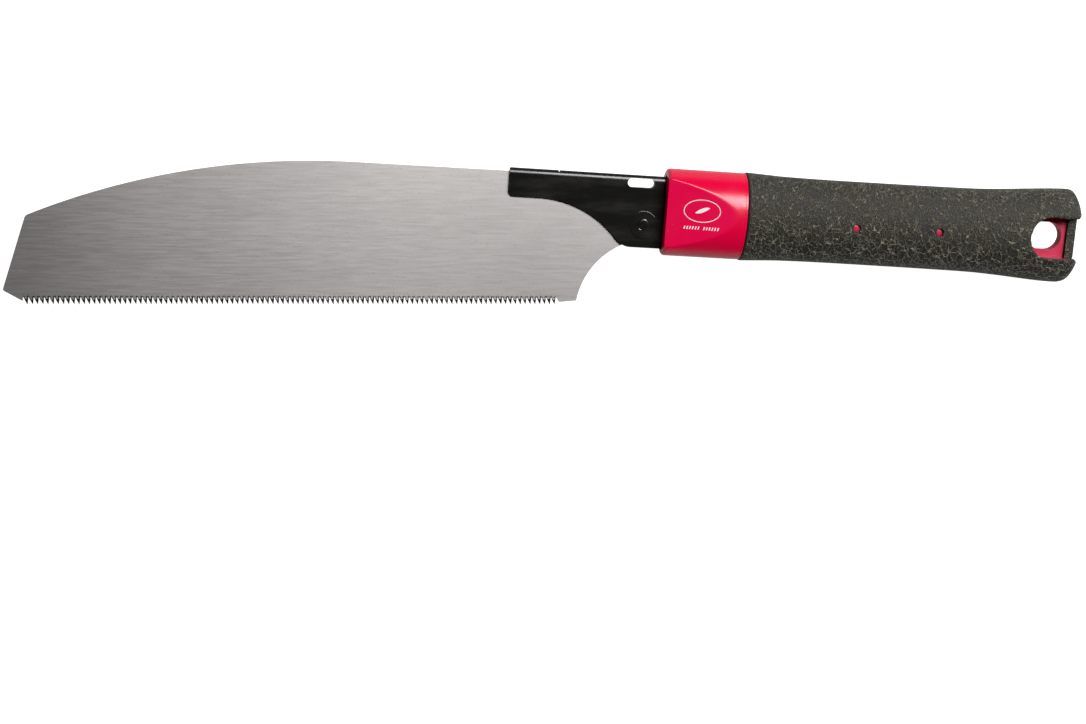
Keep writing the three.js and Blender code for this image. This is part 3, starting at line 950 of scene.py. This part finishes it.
@dataclass
class BladeHolder:
    """The holder: sheet steel folded over the spine, with a concave throat, a window and a pin boss."""

    place: Place
    slot_half: float = 0.55
    sheet: float = 1.2
    top: float = 25.05
    bottom: float = -11.7
    front: float = -70.15
    clamp_bottom: float = 10.6
    crown_start: float = 21.9
    front_radius: float = 0.8
    clamp_radius: float = 2.8
    throat_u: float = -29.5
    throat_radius: float = 53.1
    heel_u: float = -10.6
    heel_radius: float = 9.8
    window: tuple[float, float, float, float] = (-9.7, 4.3, 18.8, 23.45)
    nick_u: float = -45.0
    nick_half: float = 0.3
    nick_depth: float = 0.8
    shoulder: float = 16.0
    tail: tuple[float, float, float] = (34.0, -4.5, 19.0)
    tail_radius: float = 3.0
    boss_radius: float = 7.15
    boss_height: float = 0.3
    pin_radius: float = 2.8
    clearance: float = 0.3

    @property
    def half(self) -> float:
        """Half of the holder's thickness."""
        return self.slot_half + self.sheet

    def side_outline(self) -> list[Point]:
        """The holder's side view."""
        end, low, high = self.tail
        return outline_of([
            (self.front, self.top, self.front_radius),
            (self.front, self.clamp_bottom, self.clamp_radius),
            (self.throat_u, self.clamp_bottom, self.throat_radius),
            (self.heel_u, self.bottom, self.heel_radius),
            (self.shoulder, self.bottom), (self.shoulder, low),
            (end, low, self.tail_radius), (end, high, self.tail_radius),
            (self.shoulder, high), (self.shoulder, self.top),
        ])

    def folded(self, name: str, half: float, top: float, flat_top: float) -> Mesh:
        """A long bar with flat cheeks that turn over into an elliptical crown.

        Args:
            name: the mesh's name.
            half: half of its thickness.
            top: the crown's height.
            flat_top: how high the cheeks stay flat.

        Returns:
            The mesh.
        """
        steps, foot, guard = 40, -30.0, flat_top - 0.12
        turn = [(flat_top + (top - flat_top) * math.sin(a), half * math.cos(a))
                for a in (math.pi * i / steps for i in range(steps + 1))]
        section = [(foot, half), (guard, half), *turn, (guard, -half), (foot, -half)]
        return loft(name, [[(u, v, z) for v, z in section] for u in (self.front - 4, self.tail[0] + 4)])

    def sheet_mesh(self) -> Mesh:
        """The folded sheet, with its window, its pin hole and the nick across its fold."""
        tall = 9.0
        mesh = cut(
            self.folded("sheet", self.half, self.top, self.crown_start),
            prism("side", self.side_outline(), -tall, tall), keep=True,
        )
        left, right = self.nick_u - self.nick_half, self.nick_u + self.nick_half
        low, high = self.top - self.nick_depth, self.top + 3
        nick = [(left, low), (right, low), (right, high), (left, high)]
        mesh = cut(
            mesh,
            self.folded("slot", self.slot_half, self.top - self.sheet, self.top - self.sheet - 0.8),
            prism("window", slot_outline(*self.window, steps=14), -tall, tall),
            prism("pin_hole", circle((0, 0), self.pin_radius + self.clearance), -tall, tall),
            prism("nick", nick, -tall, tall),
        )
        return eased(mesh, 0.13, 2, 38.0)

    def boss(self, side: Side) -> Mesh:
        """The pressed disc round the pin on one cheek."""
        low, high, r = self.half - 0.2, self.half + self.boss_height, self.boss_radius
        inner = self.pin_radius + self.clearance * 0.6
        profile = [
            (inner, low), (inner, high - 0.1), (inner + 0.1, high), (r - 0.24, high),
            (r - 0.1, high - 0.04), (r - 0.02, high - 0.14), (r, high - 0.22), (r, low),
        ]
        return lathe("boss", [(radius, z * side.value) for radius, z in profile], 96)

    def pin_mesh(self) -> Mesh:
        """The pin, flush with the bosses, with a shallow dish in each end."""
        high, r = self.half + self.boss_height - 0.02, self.pin_radius - 0.05
        end = [
            (r, high - 0.1), (r - 0.03, high - 0.03), (r - 0.1, high), (r - 1.0, high), (0.0, high - 0.01)
        ]
        profile = [(radius, -z) for radius, z in reversed(end)] + end
        return lathe("pin", profile, 72)

    def build(self) -> None:
        """Makes the holder and its pin."""
        enamel = BlackEnamel().material()
        parts = [self.sheet_mesh(), *(self.boss(side) for side in Side)]
        finished("holder_sheet", joined("holder", parts), self.place.handle(), [enamel], Body.HANDLE,
                 ["blade_holder"], crease=14.0)
        finished("hook_pin_turned", self.pin_mesh(), self.place.saw(), [enamel], Body.PIN,
                 ["hook_pin"])


# ---- the handle --------------------------------------------------------------------------------------


@dataclass
class OvalHandle:
    """Sizes that the collar, the core and the grip share."""

    place: Place
    axis: float = 7.2
    oval: float = 0.65
    points: int = 288

    def loop(self, u: float, radius: float, oval: float | None = None) -> Loop:
        """An oval loop square to the handle's axis."""
        squeeze = self.oval if oval is None else oval
        turns = [2 * math.pi * i / self.points for i in range(self.points)]
        return [(u, self.axis + radius * math.sin(t), squeeze * radius * math.cos(t)) for t in turns]


@dataclass
class Collar(OvalHandle):
    """The glossy collar: an oval tube with a sloping flat on each side and a mouth for the holder."""

    front: float = 10.2
    rear: float = 50.9
    radius: float = 22.25
    edge: float = 1.8
    wall: float = 3.0
    flat_nose: float = 45.0
    flat_slope: float = 0.1635
    flat_edge: float = 0.32
    cavity: Point = (19.7, 6.5)
    mouth_half: float = 2.5
    mouth: Point = (-12.45, 25.8)
    mouth_power: float = 0.35
    line_u: float = 49.35
    line_depth: float = 0.16
    line_width: float = 0.22
    mark_at: Point = (27.8, 9.55)
    ring_radii: tuple[Point, ...] = ((9.4, 5.8), (9.02, 5.42))
    ticks: int = 13
    tick_start: float = -8.9
    tick_pitch: float = 1.42
    ink: tuple[float, float, float] = (-0.01, 0.03, 0.004)

    def flat_height(self, u: float) -> float:
        """How high the flats stand at one place along the handle."""
        return self.radius * self.oval - (self.flat_nose - u) * self.flat_slope

    def outside(self, u: float, radius: float) -> Loop:
        """A loop of the outside, with the two flats cut."""
        height = self.flat_height(u)
        return [
            (x, y, math.copysign(soft_min(abs(z), height, self.flat_edge), z))
            for x, y, z in self.loop(u, radius)
        ]

    def mouth_loop(self, u: float) -> Loop:
        """A loop of the mouth, a slot with rounded corners."""
        low, high = self.mouth
        centre, reach = (low + high) / 2, (high - low) / 2
        result: Loop = []
        for i in range(self.points):
            t = 2 * math.pi * i / self.points
            s, c = math.sin(t), math.cos(t)
            across = math.copysign(abs(s) ** self.mouth_power, s)
            out = math.copysign(abs(c) ** self.mouth_power, c)
            result.append((u, centre + reach * across, self.mouth_half * out))
        return result

    def stations(self) -> list[Point]:
        """(along, radius) points of the outside, from front to rear."""
        rounded = arc((self.front + self.edge, self.radius - self.edge), self.edge, 180, 90, 9)
        count = 128
        start = self.front + self.edge
        straight = []
        for i in range(1, count + 1):
            u = start + (self.rear - 0.25 - start) * i / count
            groove = self.line_depth * math.exp(-((u - self.line_u) / self.line_width) ** 2)
            straight.append((u, self.radius - groove))
        rear_edge = [(self.rear - 0.08, self.radius - 0.1), (self.rear, self.radius - 0.28)]
        return rounded + straight + rear_edge

    def mesh(self) -> Mesh:
        """The collar as one closed shell, with its flats marked for the finish."""
        loops = [self.outside(u, r) for u, r in self.stations()]
        cavity, half = self.cavity
        inner = self.front + self.wall
        loops += [self.loop(self.rear, cavity, half / cavity), self.loop(inner, cavity, half / cavity)]
        loops += [self.mouth_loop(inner), self.mouth_loop(self.front + 0.3), self.mouth_loop(self.front)]
        mesh = loft("collar", loops, ring=True)
        layer = mesh.attributes.new("flat", "FLOAT", "POINT")
        for i, vertex in enumerate(mesh.vertices):
            u, _, z = vertex.co
            gap = abs(abs(z) - self.flat_height(u))
            layer.data[i].value = 1.0 if gap < 0.12 and u > self.front + 0.1 else 0.0
        return mesh

    def mark_mesh(self) -> Mesh:
        """The printed mark: an oval ring with a leaf in it, over a row of slanted ticks, on the flat."""
        ring = [[(a * math.cos(t), b * math.sin(t)) for t in (2 * math.pi * i / 64 for i in range(64))]
                for a, b in self.ring_radii]
        leaf = arc((0.0, -4.6), 6.6, 132, 48, 14) + arc((0.0, 5.4), 6.6, -48, -132, 14)
        leaf = [(0.86 * x + 0.35 * y, 0.30 * x + 0.80 * y) for x, y in leaf]
        starts = (self.tick_start + self.tick_pitch * i for i in range(self.ticks))
        ticks = [[(x, -9.5), (x + 0.62, -9.5), (x + 1.02, -7.9), (x + 0.4, -7.9)]
                 for x in starts if abs(x + 0.4) > 0.5]
        meshes = [plate("ring", ring, *self.ink, 0)]
        meshes += [plate("shape", [shape], *self.ink, 0) for shape in (leaf, *ticks)]
        mark = joined("mark", meshes)
        u, v = self.mark_at
        slope = math.atan(self.flat_slope)
        seat = Matrix.Translation((u, v, self.flat_height(u) + 0.012))
        mark.transform(seat @ Matrix.Rotation(-slope, 4, "Y"))
        return mark

    def build(self) -> None:
        """Makes the collar and its mark."""
        finished("collar", self.mesh(), self.place.handle(), [CollarGloss().material()], Body.HANDLE,
                 ["ferrule"], crease=50.0)
        finished("collar_mark", self.mark_mesh(), self.place.handle(), [PrintInk().material()],
                 Body.HANDLE)


@dataclass
class GripEye:
    """The eye near the handle's end and the strip across it."""

    centre_u: float = 212.2
    v0: float = -4.1
    v1: float = 17.1
    square_u: float = 225.15
    strip_half: float = 4.6
    strip_end: float = 230.2
    hole: tuple[float, float, float, float] = (204.7, 223.0, -0.4, 14.2)
    web_half: float = 2.8

    @property
    def centre(self) -> Point:
        """The centre of the eye's round end."""
        return (self.centre_u, (self.v0 + self.v1) / 2)

    def outline(self) -> list[Point]:
        """The eye, round towards the blade and square towards the strip."""
        radius = (self.v1 - self.v0) / 2
        return arc(self.centre, radius, 90, 270, 40) + [(self.square_u, self.v0), (self.square_u, self.v1)]

    def distance(self, u: float, v: float) -> float:
        """How far a point lies outside the eye and the channel behind it."""
        if u > self.centre_u:
            return max(self.v0 - v, v - self.v1)
        return math.hypot(u - self.centre[0], v - self.centre[1]) - (self.v1 - self.v0) / 2

    def channel(self) -> Mesh:
        """The cutter for the channel between the lips, which leaves the strip."""
        inner, far, ease = self.square_u, 245.0, 1.2
        end, half = self.strip_end, self.strip_half
        upper = arc((end - ease, half - ease), ease, 0, 90, 6)
        shape = [(inner, -TALL), (far, -TALL), (far, TALL), (inner, TALL), (inner, half), *reversed(upper),
                 *((u, -z) for u, z in upper), (inner, -half)]
        low, high = self.v0 + 0.02, self.v1 - 0.02
        return loft("channel", [[(u, low, z) for u, z in shape], [(u, high, z) for u, z in shape]])


@dataclass
class Grip(OvalHandle):
    """The grip: a grained sleeve, flared at its end, with an eye on each side and two round windows.

    The barrel's knots are (along, radius), and the butt's are (along, radius above, radius below).
    """

    eye: GripEye = field(default_factory=GripEye)
    wall: float = 2.4
    front: float = 51.2
    front_ease: tuple[Point, ...] = ((0.0, 0.5), (0.15, 0.14))
    core_end: float = 225.2
    fine_from: float = 196.0
    lips_from: float = 198.0
    butt_from: float = 227.0
    butt_blend: float = 2.5
    lip: float = 1.1
    butt_lip: float = 2.4
    windows: tuple[Point, ...] = ((108.6, 5.75), (152.7, 6.1))
    window_radius: float = 2.0
    barrel: tuple[Point, ...] = (
        (51.2, 22.7), (56.0, 22.45), (63.0, 22.1), (72.0, 21.7), (92.0, 21.45), (125.0, 21.5),
        (158.0, 21.7), (176.0, 21.95), (190.0, 22.7), (203.0, 23.65), (214.0, 24.4),
    )
    butt: tuple[tuple[float, float, float], ...] = (
        (223.0, 24.75, 24.6), (225.9, 24.4, 24.0), (227.7, 22.5, 22.9), (229.2, 19.8, 20.9),
        (230.2, 17.0, 18.9), (230.9, 14.9, 16.6), (231.4, 13.4, 15.0), (231.65, 12.0, 13.0),
        (231.7, 8.0, 9.0), (231.7, 3.0, 3.0),
    )

    def profile(self, spacing: float) -> list[tuple[float, float, float]]:
        """(along, radius above, radius below) points of the outside, on one smooth curve."""
        knots = [Vector((u, r, r)) for u, r in self.barrel] + [Vector(k) for k in self.butt]
        points: list[tuple[float, float, float]] = []
        for i in range(len(knots) - 1):
            before, a, b, after = (knots[max(0, min(len(knots) - 1, j))] for j in (i - 1, i, i + 1, i + 2))
            span = (b - a).length
            start = (b - before) * (span / max((b - before).length, 1e-9))
            end = (after - a) * (span / max((after - a).length, 1e-9))
            steps = max(1, math.ceil(span / (spacing if a.x > self.fine_from else spacing * 3.2)))
            for j in range(steps):
                t = j / steps
                at_a, at_b = 2 * t ** 3 - 3 * t ** 2 + 1, 3 * t ** 2 - 2 * t ** 3
                from_a, to_b = t ** 3 - 2 * t ** 2 + t, t ** 3 - t ** 2
                points.append(tuple(a * at_a + start * from_a + b * at_b + end * to_b))
        return points + [tuple(knots[-1])]

    def skin_loop(self, u: float, above: float, below: float, shrink: float = 0.0) -> Loop:
        """A loop of the outside, with its lips rolled in round the eyes."""
        result: Loop = []
        for i in range(self.points):
            t = 2 * math.pi * i / self.points
            s, c = math.sin(t), math.cos(t)
            r = (above if s > 0 else below) - shrink
            r += (below - above) * 0.5 * (1 - abs(s)) * (1 if s > 0 else -1)
            v, z = self.axis + r * s, self.oval * r * c
            if shrink or u < self.lips_from:
                result.append((u, v, z))
                continue
            away = self.eye.distance(u, v)
            butt = min(max((u - self.butt_from) / self.butt_blend, 0.0), 1.0)
            sink = min(self.roll(away, self.lip) * abs(c) * (1 - butt), abs(z) * 0.6)
            result.append((u - self.butt_roll(away) * butt, v, z - math.copysign(sink, z)))
        return result

    def roll(self, away: float, radius: float) -> float:
        """How far the skin is rolled in at a distance outside the eye."""
        rest = radius - min(max(away, 0.0), radius)
        return radius - math.sqrt(radius ** 2 - rest ** 2)

    def butt_roll(self, away: float) -> float:
        """How far the butt is rolled in at a distance outside the channel, less again inside it."""
        inside = min(max(-away - 0.1, 0.0) / 0.8, 1.0)
        return self.roll(away, self.butt_lip) * (1 - inside) + self.lip * inside

    def mesh(self) -> Mesh:
        """The sleeve, cut for its eyes, strip and windows."""
        skin = self.profile(0.42)
        first_u, above, below = skin[0]
        loops = [self.skin_loop(first_u, above, below, shrink=self.wall)]
        loops += [self.skin_loop(first_u + along, above, below, shrink=inwards)
                  for along, inwards in self.front_ease]
        loops += [self.skin_loop(*row) for row in skin[1:]]
        tip = skin[-1][0] - self.lip
        loops += [[(u, self.axis, 0.0)] * self.points for u in (tip, self.core_end)]
        inner = [row for row in skin if row[0] < self.core_end][::-12]
        loops += [self.skin_loop(self.core_end, inner[0][1], inner[0][2], shrink=self.wall)]
        loops += [self.skin_loop(*row, shrink=self.wall) for row in inner[:-1]]
        holes = [prism("eye", self.eye.outline(), -TALL, TALL)]
        holes += [prism("window", circle(spot, self.window_radius), -TALL, TALL) for spot in self.windows]
        return cut(loft("grip", loops, ring=True), *holes, self.eye.channel())

    def build(self) -> None:
        """Makes the sleeve."""
        start = self.place.handle() @ Vector((self.front, self.axis, 0))
        leather = LeatherRubber(-self.place.handle_drop, tuple(start))
        finished("grip_skin", self.mesh(), self.place.handle(), [leather.material()], Body.HANDLE,
                 ["grip_sleeve"], crease=60.0)


@dataclass
class Core(OvalHandle):
    """The rigid core in two shells, whose web shows in the grip's eyes and its pins in the windows."""

    grip: Grip = field(kw_only=True)
    points: int = 96
    inset: float = 2.7
    spigot: tuple[float, float, float] = (13.5, 19.4, 6.2)
    body_front: float = 51.5
    end: float = 224.9
    split: float = 0.12
    pin_radius: float = 2.5
    pin_reach: float = 12.8
    tail: tuple[float, float, float] = (34.3, -4.8, 19.3)
    tail_half: float = 2.05
    tang: tuple[float, float, float] = (165.3, -2.8, 16.8)
    tang_half: float = 0.75

    def half_loop(self, u: float, radius: float, oval: float) -> Loop:
        """Half an oval loop, flat where the two shells meet."""
        turns = [math.pi * i / self.points - math.pi / 2 for i in range(self.points + 1)]
        return [
            (u, self.axis + radius * math.sin(t), max(oval * radius * math.cos(t), self.split))
            for t in turns
        ]

    def shell(self, side: Side) -> Mesh:
        """One shell of the core."""
        front, radius, half = self.spigot
        loops = [self.half_loop(u, radius, half / radius) for u in (front, self.body_front)]
        rows = [row for row in self.grip.profile(2.0) if self.body_front < row[0] < self.end]
        rows = [(self.body_front + 0.01, *rows[0][1:]), *rows, (self.end, *rows[-1][1:])]
        loops += [self.half_loop(u, (above + below) / 2 - self.inset, self.oval)
                  for u, above, below in rows]
        mesh = loft("core", loops)
        eye = self.grip.eye
        opening = [(u, v) for u, v in eye.outline() if u < eye.square_u]
        opening += [(self.end + 5, eye.v0), (self.end + 5, eye.v1)]
        cutters = [prism("pin_hole", circle(spot, self.pin_radius), -TALL, TALL)
                   for spot in self.grip.windows]
        cutters += [
            prism("eye", opening, eye.web_half, TALL),
            prism("hang_hole", slot_outline(*eye.hole, steps=24), -TALL, TALL),
        ]
        for (end, low, high), thick in ((self.tail, self.tail_half), (self.tang, self.tang_half)):
            cutters.append(prism("slot", [(0, low), (end, low), (end, high), (0, high)], -thick, thick))
        mesh = eased(cut(mesh, *cutters), 0.3)
        mesh.transform(Matrix.Diagonal((1, 1, side.value, 1)))
        return tidied(mesh)

    def pin_mesh(self, spot: Point) -> Mesh:
        """A cross pin with domed ends, just below the grip's skin."""
        r, reach = self.pin_radius - 0.3, self.pin_reach
        end = [
            (r, reach - 0.7), (r - 0.15, reach - 0.3), (r * 0.7, reach - 0.08), (r * 0.35, reach),
            (0.0, reach + 0.02),
        ]
        return lathe("pin", [(radius, -z) for radius, z in reversed(end)] + end, 48, spot)

    def build(self) -> None:
        """Makes both shells and the two pins across them."""
        plastic = CorePlastic().material()
        for side, hand in ((Side.UPPER, "left"), (Side.LOWER, "right")):
            finished(f"core_{hand}_moulded", self.shell(side), self.place.handle(), [plastic],
                     Body.HANDLE, [f"core_shell_{hand}"], crease=14.0)
        for spot, node in zip(self.grip.windows, ("cross_pin_front", "cross_pin_rear")):
            finished(f"{node}_turned", self.pin_mesh(spot), self.place.handle(), [plastic], Body.HANDLE,
                     [node], crease=30.0)


def dress(node: str, material: bpy.types.Material) -> None:
    """Gives a CAD node that stays its finish."""
    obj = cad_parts[node]
    for i in range(max(1, len(obj.material_slots))):
        if i < len(obj.material_slots):
            obj.material_slots[i].material = material
        else:
            obj.data.materials.append(material)
    LOG.info("%s keeps its CAD shape", node)


@dataclass
class InnerSteel:
    """The steel pieces inside the handle, which keep their CAD shapes."""

    nodes: tuple[str, ...] = ("tang_plate", "tang_rivet_front", "tang_rivet_rear")

    def build(self) -> None:
        """Dresses them."""
        plate_steel = PlatedSteel().material()
        for node in self.nodes:
            dress(node, plate_steel)


# ---- the studio --------------------------------------------------------------------------------------


@dataclass(frozen=True)
class SoftBox:
    """One soft light, aimed at the saw."""

    name: str
    centre: tuple[float, float, float]
    size: tuple[float, float]
    watts: float
    colour: Colour = (1.0, 1.0, 1.0)

    def build(self, target: Vector) -> None:
        """Makes the light."""
        lamp = bpy.data.lights.new(self.name, "AREA")
        lamp.shape, lamp.size, lamp.size_y = "RECTANGLE", *self.size
        lamp.energy, lamp.color = self.watts, self.colour
        away = Vector(self.centre).normalized()
        across = (Vector((1, 0, 0)) - away * away.x).normalized()
        turn = Matrix((across, away.cross(across), away)).transposed().to_4x4()
        linked(self.name, lamp).matrix_world = Matrix.Translation(target + Vector(self.centre)) @ turn


@dataclass
class Studio:
    """A pale table top under soft light, and the camera above it."""

    place: Place
    camera_from_pin: tuple[float, float, float] = (-0.1468, 0.0778, 0.817)
    pan: float = math.radians(-6.74)
    tilt: float = math.radians(-10.27)
    roll: float = math.radians(0.97)
    lens: float = 53.7
    floor_half: float = 6.0
    boxes: tuple[SoftBox, ...] = (
        SoftBox("key_box", (0.58, 0.57, 1.17), (1.08, 0.50), 26.0, (1.0, 0.99, 1.0)),
    )

    def camera(self) -> None:
        """Makes the camera."""
        data = bpy.data.cameras.new("camera")
        data.lens, data.sensor_width = self.lens, 36.0
        data.clip_start, data.clip_end = 0.01, 50.0
        obj = linked("camera", data)
        turn = (Matrix.Rotation(self.pan, 4, "Y") @ Matrix.Rotation(self.tilt, 4, "X")
                @ Matrix.Rotation(self.roll, 4, "Z"))
        obj.matrix_world = Matrix.Translation(self.place.pin + Vector(self.camera_from_pin)) @ turn
        bpy.context.scene.camera = obj

    def floor(self, height: float) -> None:
        """Makes the table top at a height, white to the camera and dim to the saw's reflections."""
        h = self.floor_half
        corners = [(-h, -h, height), (h, -h, height), (h, h, height), (-h, h, height)]
        mesh = mesh_from("table_top", corners, [(0, 1, 2, 3)])
        s = Shader("white_table")
        cloud = s.noise(s.where, 3.0, 2.0)
        seen = add_node(s.tree, "ShaderNodeLightPath").outputs["Is Camera Ray"]
        mesh.materials.append(s.finish({
            "Base Color": s.mix(cloud, (0.40, 0.40, 0.40), (0.44, 0.44, 0.44)),
            "Roughness": 0.9,
            "Specular IOR Level": 0.0,
            "Emission Color": (1.0, 1.0, 1.0, 1.0),
            "Emission Strength": s.ramp(seen, 0.0, 1.0, 0.26, 1.05),
        }))
        linked("table_top", mesh)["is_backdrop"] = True

    def sky(self) -> None:
        """Makes the room's light: dim above, pale towards the walls, and paler on the spine's side."""
        world = bpy.data.worlds.new("room")
        world.use_nodes = True
        tree = world.node_tree
        tree.nodes.clear()
        way = add_node(tree, "ShaderNodeTexCoord").outputs["Generated"]
        parts = add_node(tree, "ShaderNodeSeparateXYZ", {0: way}).outputs
        rise = add_node(
            tree, "ShaderNodeMapRange",
            {"Value": parts[2], "From Min": 0.30, "From Max": 0.0, "To Min": 0.015, "To Max": 0.42},
            interpolation_type="SMOOTHSTEP",
        ).outputs[0]
        lean = add_node(
            tree, "ShaderNodeMapRange",
            {"Value": parts[1], "From Min": -0.7, "From Max": 0.7, "To Min": 0.65, "To Max": 1.25},
        ).outputs[0]
        level = add_node(tree, "ShaderNodeMath", {0: rise, 1: lean}, operation="MULTIPLY").outputs[0]
        tint = (1.0, 0.995, 0.99, 1.0)
        shade = add_node(tree, "ShaderNodeBackground", {"Color": tint, "Strength": level})
        add_node(tree, "ShaderNodeOutputWorld", {"Surface": shade.outputs[0]})
        bpy.context.scene.world = world

    def build(self, height: float) -> None:
        """Makes the camera, the floor and the lights."""
        self.camera()
        self.floor(height)
        self.sky()
        for box in self.boxes:
            box.build(self.place.pin)
        bpy.context.scene.view_settings.view_transform = "Standard"
        bpy.context.scene.view_settings.look = "None"


def main() -> None:
    """Builds the saw and its studio."""
    logging.basicConfig(level=logging.INFO, format="%(message)s")
    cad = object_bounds()
    low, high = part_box("hook_pin")
    place = Place((low + high) / 2)
    Studio(place).build(cad[0].z)
    SawBlade(place).build()
    BladeHolder(place).build()
    Collar(place).build()
    grip = Grip(place)
    grip.build()
    Core(place, grip=grip).build()
    InnerSteel().build()


if __name__ == "__main__":
    main()
